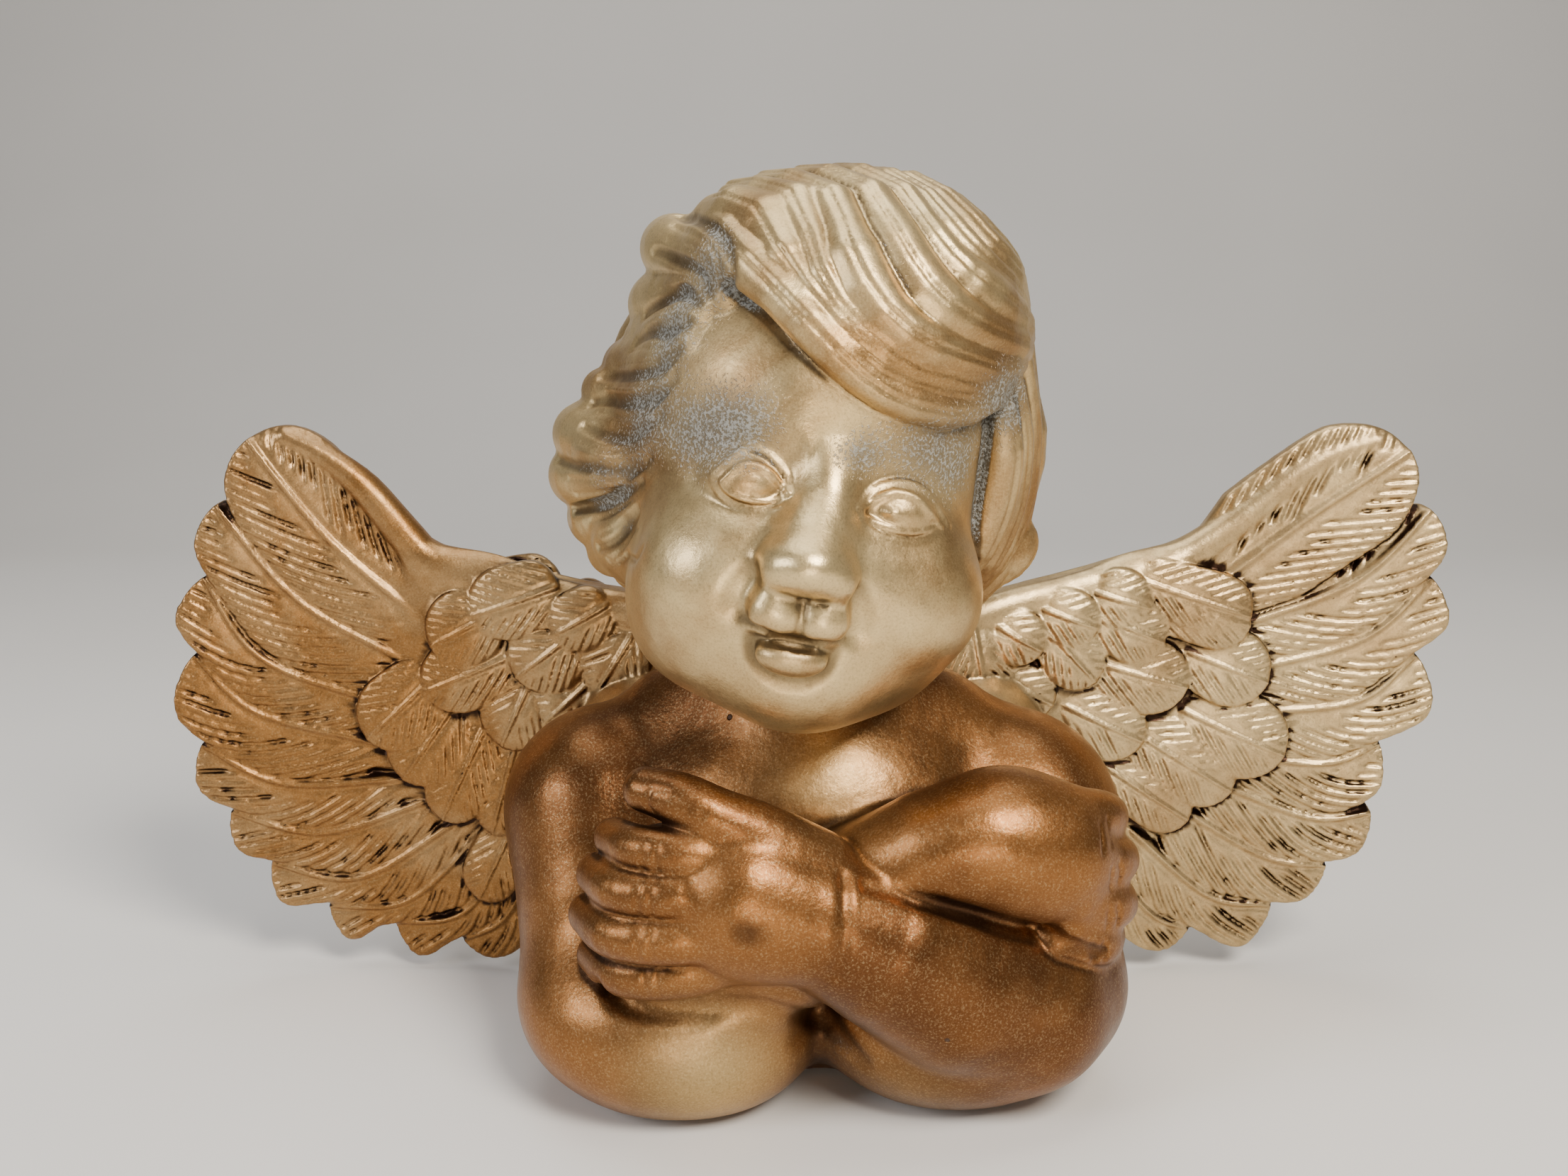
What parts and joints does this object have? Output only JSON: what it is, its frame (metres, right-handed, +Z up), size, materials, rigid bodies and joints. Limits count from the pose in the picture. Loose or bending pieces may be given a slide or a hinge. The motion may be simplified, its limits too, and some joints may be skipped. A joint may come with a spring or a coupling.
{
  "type": "cherub bust figurine",
  "caption": "Gilded cast-resin cherub bust with a tilted head, folded arms and spread feathered wings, standing on felt pads as a shelf ornament.",
  "frame": {"origin": "centre of the overall box at the felt pads' undersides", "axes": "+Z up; the figure faces -Y; +X to the right of someone facing the figure, and the wings spread along X"},
  "size_m": [0.2986, 0.1128, 0.1897],
  "materials": {
    "gilt_resin": "satin metallic gold paint over cast resin",
    "pin_steel": "plain drawn steel",
    "hardboard": "raw brown hardboard",
    "felt": "pressed green wool felt"
  },
  "bodies": {
    "root": {"head_shell": "gilt_resin", "bust_shell": "gilt_resin", "wing_left": "gilt_resin", "wing_right": "gilt_resin", "wing_pin_left_upper": "pin_steel", "wing_pin_left_lower": "pin_steel", "wing_pin_right_upper": "pin_steel", "wing_pin_right_lower": "pin_steel", "base_board": "hardboard", "felt_pad_front_left": "felt", "felt_pad_front_right": "felt", "felt_pad_back_left": "felt", "felt_pad_back_right": "felt"}
  },
  "joints": []
}
